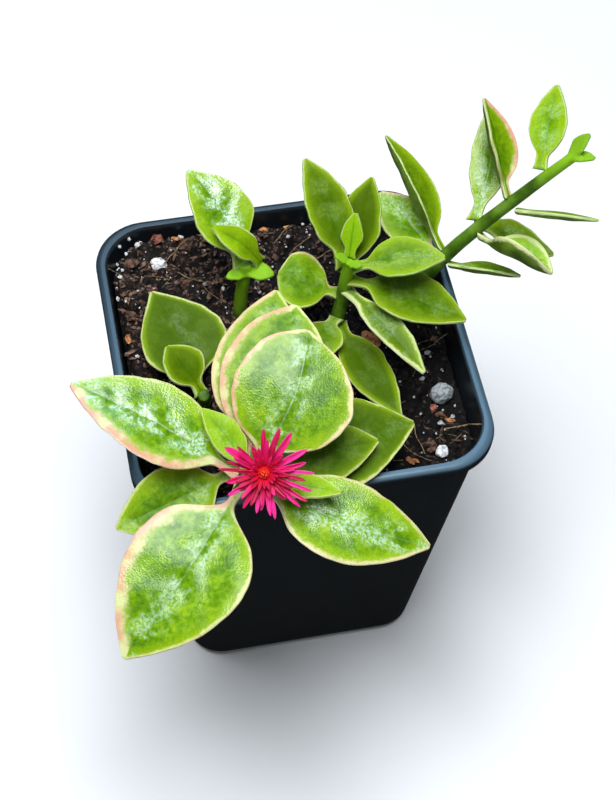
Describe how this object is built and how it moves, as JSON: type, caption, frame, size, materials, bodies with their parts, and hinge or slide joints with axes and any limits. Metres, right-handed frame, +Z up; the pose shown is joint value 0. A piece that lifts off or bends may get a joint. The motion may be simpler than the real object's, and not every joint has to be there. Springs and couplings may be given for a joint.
{
  "type": "potted heartleaf ice plant",
  "caption": "Square black nursery pot of soil with a leafy ice plant: fleshy heart-shaped green leaves in pairs on green shoots, and a magenta daisy-like flower at the front.",
  "frame": {"origin": "centre of the pot's base, on the surface that it stands on", "axes": "+Z up, +Y towards the back of the pot, +X to the right; the flowering shoot leans out over the front rim, towards -Y"},
  "size_m": [0.0956, 0.0881, 0.1107],
  "materials": {
    "pot": "black injection-moulded polypropylene, satin, with a soft sheen on the rim",
    "soil": "dark moist peat with fine bark and fibres",
    "perlite": "chalky white expanded grains",
    "bark": "rough orange-brown chip",
    "stem": "smooth fleshy green skin",
    "leaf": "fleshy green skin with fine glistening papillae and a pale margin",
    "petal": "thin silky magenta",
    "stamen": "orange-red filaments"
  },
  "bodies": {
    "root": {"pot": "pot", "soil": "soil", "perlite_1": "perlite", "perlite_2": "perlite", "perlite_3": "perlite", "bark_chip": "bark", "stem_a": "stem", "leaf_a1": "leaf", "leaf_a2": "leaf", "leaf_a3": "leaf", "leaf_a4": "leaf", "leaf_a5": "leaf", "leaf_a6": "leaf", "leaf_a7": "leaf", "leaf_a8": "leaf", "leaf_a9": "leaf", "leaf_a10": "leaf", "leaf_a11": "leaf", "stem_b": "stem", "leaf_b1": "leaf", "leaf_b2": "leaf", "stem_c": "stem", "leaf_c1": "leaf", "leaf_c2": "leaf", "leaf_c3": "leaf", "leaf_c4": "leaf", "leaf_c5": "leaf", "leaf_c6": "leaf", "leaf_c7": "leaf", "leaf_c8": "leaf", "leaf_c9": "leaf", "stem_d": "stem", "leaf_d1": "leaf", "leaf_d2": "leaf", "leaf_d3": "leaf", "leaf_d4": "leaf", "leaf_d5": "leaf", "leaf_d6": "leaf", "leaf_d7": "leaf", "leaf_d8": "leaf", "leaf_d9": "leaf", "stem_e": "stem", "leaf_e1": "leaf", "leaf_e2": "leaf", "flower_cup": "stem", "flower_petals": "petal", "flower_stamens": "stamen"}
  },
  "joints": []
}
